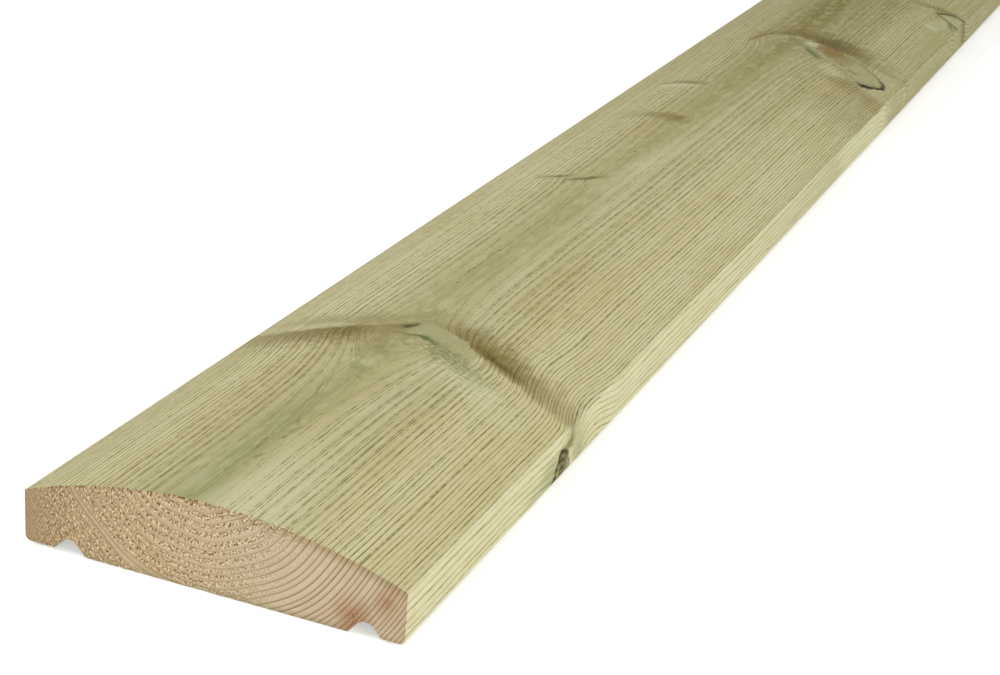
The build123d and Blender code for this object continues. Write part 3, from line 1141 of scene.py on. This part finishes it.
def sawn_wood():
    """The sawn ends: untreated wood, torn at the left, with crisp rings at the right."""
    material, shader, point = new_material("treated_pine_sawn")
    x, y, z = parts(point)
    year, depth, distance, turn, _ = growth(point)
    strength = chance(floor(year))
    loose, tuft, rough = attribute(material.node_tree, "fibres")
    broad = patches((x, y, z), SAWN_BROAD_CELL)
    grain = patches((x, y, z), SAWN_GRAIN_CELL)
    base = blend(SAWN_PALE, SAWN_WARM, maximum(smooth(0.4, 0.75, broad) * 0.6, smooth(-40.0, 30.0, y)))
    first, last = PINK_BAND
    band = smooth(first - 0.6, first + 0.4, distance) * smooth(last + 0.6, last - 0.4, distance)
    base = blend(base, SAWN_PINK, band * smooth(*PINK_SIDE, y) * 0.7)
    from_top = CROWN_RADIUS - sqrt(y * y + (z - CROWN_CENTRE) * (z - CROWN_CENTRE))
    crisp = smooth(*CRISP_SIDE, y)
    base = blend(base, SAWN_LATE, smooth(*LEFT_SIDE, y) * 0.3)
    base = blend(base, SAWN_EDGE, smooth(4.5, 0.3, from_top) * crisp * 0.6)
    base = blend(base, SAWN_GREEN, smooth(3.0, 0.0, z) * 0.55)
    base = blend(base, SAWN_LATE, smooth(1.3, 0.1, depth) * between(0.3, 0.12, rough))
    line = smooth(0.55, 0.12, depth) * between(0.6, 1.0, strength)
    base = blend(base, SAWN_LATE, line * between(1.0, 0.25, rough))
    base = blend(base, PLANED_DASH, line * smooth(6.0, 0.5, from_top) * crisp * 0.6)
    # painted highlights on the tufts that stand out, partly their paler torn fibres, and painted shade in
    # the pits
    base = blend(base, SAWN_TUFT_HIGHLIGHT, loose * smooth(0.55, 0.85, tuft))
    base = blend(base, SAWN_PIT_SHADE, loose * smooth(0.4, 0.1, tuft))
    base = blend(base, SAWN_WARM, smooth(0.45, 0.75, grain) * 0.35)
    uneven = (broad - 0.5) * 1.6 + (grain - 0.5) * 1.2 - line * 0.3
    spot = round_spot(distance, turn, STAIN_PLACE, STAIN_SIZE) + uneven
    lobe = round_spot(distance, turn, LOBE_PLACE, LOBE_SIZE) + uneven
    stain = maximum(smooth(1.0, 0.1, spot), smooth(1.0, 0.1, lobe) * 0.8)
    stain = stain * smooth(LENGTH * 0.5, 0.0, x)
    base = blend(base, RESIN, stain * between(0.25, 0.95, smooth(0.35, 0.6, grain)))
    plug(base, shader.inputs["Base Color"])
    plug(SAWN_ROUGHNESS, shader.inputs["Roughness"])
    plug(SAWN_SPECULAR, shader.inputs["Specular IOR Level"])
    bump(shader, grain, SAWN_BUMP)
    return material


# The stage


FLOOR_REACH = 14.0
FLOOR_DROP = 0.0002  # below the board, so that the two faces are apart
FLOOR_PALE = colour(236, 236, 234)
FLOOR_GLOW = 0.46
SURROUND = 0.364
LAMPS = (  # name, place, aim, size in metres, and watts
    ("right", (-1.8, -2.0, 0.6), (-1.0, 0.0, 0.0), (2.0, 0.9), 33.7),
    ("left", (-1.7, 1.9, 1.3), (-1.2, 0.0, 0.0), (1.6, 1.2), 31.3),
    ("top", (-1.6, 0.1, 2.2), (-1.3, 0.0, 0.0), (2.0, 1.6), 8.2),
    ("front", (-3.4, -0.6, 0.9), (-1.3, 0.0, 0.0), (1.4, 1.0), 4.6),
)


def seen_directly(tree):
    """1 for what the camera sees, also in a gloss or through glass, and 0 for what lights the board."""
    path = tree.nodes.new("ShaderNodeLightPath")
    seen = maximum(Field(path.outputs["Is Camera Ray"]), Field(path.outputs["Is Glossy Ray"]))
    return maximum(seen, Field(path.outputs["Is Transmission Ray"]))


def build_stage():
    """A pale floor that is white to the camera and keeps the board's shadow."""
    size = FLOOR_REACH
    mesh = bpy.data.meshes.new("floor")
    corners = [(-size, -size, 0), (size, -size, 0), (size, size, 0), (-size, size, 0)]
    mesh.from_pydata(corners, [], [(0, 1, 2, 3)])
    floor_object = bpy.data.objects.new("floor", mesh)
    floor_object.location.z = -FLOOR_DROP
    bpy.context.scene.collection.objects.link(floor_object)
    material = bpy.data.materials.new("floor")
    material.use_nodes = True
    tree = material.node_tree
    shader = tree.nodes["Principled BSDF"]
    plug(FLOOR_PALE, shader.inputs["Base Color"])
    plug(1.0, shader.inputs["Roughness"])
    plug(0.0, shader.inputs["Specular IOR Level"])
    glow = tree.nodes.new("ShaderNodeEmission")
    plug(seen_directly(tree) * FLOOR_GLOW, glow.inputs["Strength"])
    both = tree.nodes.new("ShaderNodeAddShader")
    tree.links.new(shader.outputs[0], both.inputs[0])
    tree.links.new(glow.outputs[0], both.inputs[1])
    tree.links.new(both.outputs[0], tree.nodes["Material Output"].inputs["Surface"])
    mesh.materials.append(material)


def build_world():
    """An even white surround."""
    world = bpy.data.worlds.new("studio")
    bpy.context.scene.world = world
    world.use_nodes = True
    tree = world.node_tree
    surround = tree.nodes["Background"]
    plug((1.0, 1.0, 1.0, 1.0), surround.inputs["Color"])
    plug(between(SURROUND, 1.0, seen_directly(tree)), surround.inputs["Strength"])


def softbox(name, place, aim, size, watts):
    """A rectangular lamp at a place, turned to its aim."""
    lamp = bpy.data.lights.new(name, "AREA")
    lamp.shape = "RECTANGLE"
    lamp.size, lamp.size_y = size
    lamp.energy = watts
    holder = bpy.data.objects.new(name, lamp)
    holder.location = place
    holder.rotation_euler = (Vector(aim) - Vector(place)).to_track_quat("-Z", "Y").to_euler()
    bpy.context.scene.collection.objects.link(holder)


CAMERA_PLACE = (-2028.8, -298.2, 343.0)  # millimetres, in the board's frame
CAMERA_TURN, CAMERA_FALL, CAMERA_ROLL = (math.radians(a) for a in (20.815, 22.039, -4.419))
PICTURE_WIDTH = 1000
FOCAL_PIXELS = 2045.5
SENSOR_WIDTH = 36.0
CLIP_START = 0.01


def build_camera():
    """The photograph's camera: turned left of the board's length, tipped down and rolled."""
    ahead = Vector((
        math.cos(CAMERA_TURN) * math.cos(CAMERA_FALL),
        math.sin(CAMERA_TURN) * math.cos(CAMERA_FALL),
        -math.sin(CAMERA_FALL),
    ))
    right = ahead.cross(Vector((0, 0, 1))).normalized()
    up = right.cross(ahead)
    level = Matrix((right, up, -ahead)).transposed()
    camera = bpy.data.cameras.new("camera")
    camera.sensor_width = SENSOR_WIDTH
    camera.lens = SENSOR_WIDTH * FOCAL_PIXELS / PICTURE_WIDTH
    camera.clip_start = CLIP_START
    holder = bpy.data.objects.new("camera", camera)
    holder.matrix_world = (
        Matrix.Translation(Vector(CAMERA_PLACE) * MM)
        @ (level @ Matrix.Rotation(-CAMERA_ROLL, 3, "Z")).to_4x4()
    )
    bpy.context.scene.collection.objects.link(holder)
    bpy.context.scene.camera = holder


board = build_board()
board.data.materials.append(planed_wood())
board.data.materials.append(sawn_wood())
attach(board, "root")
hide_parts(NODE)

build_stage()
build_world()
for lamp in LAMPS:
    softbox(*lamp)
build_camera()
bpy.context.scene.view_settings.view_transform = "Standard"
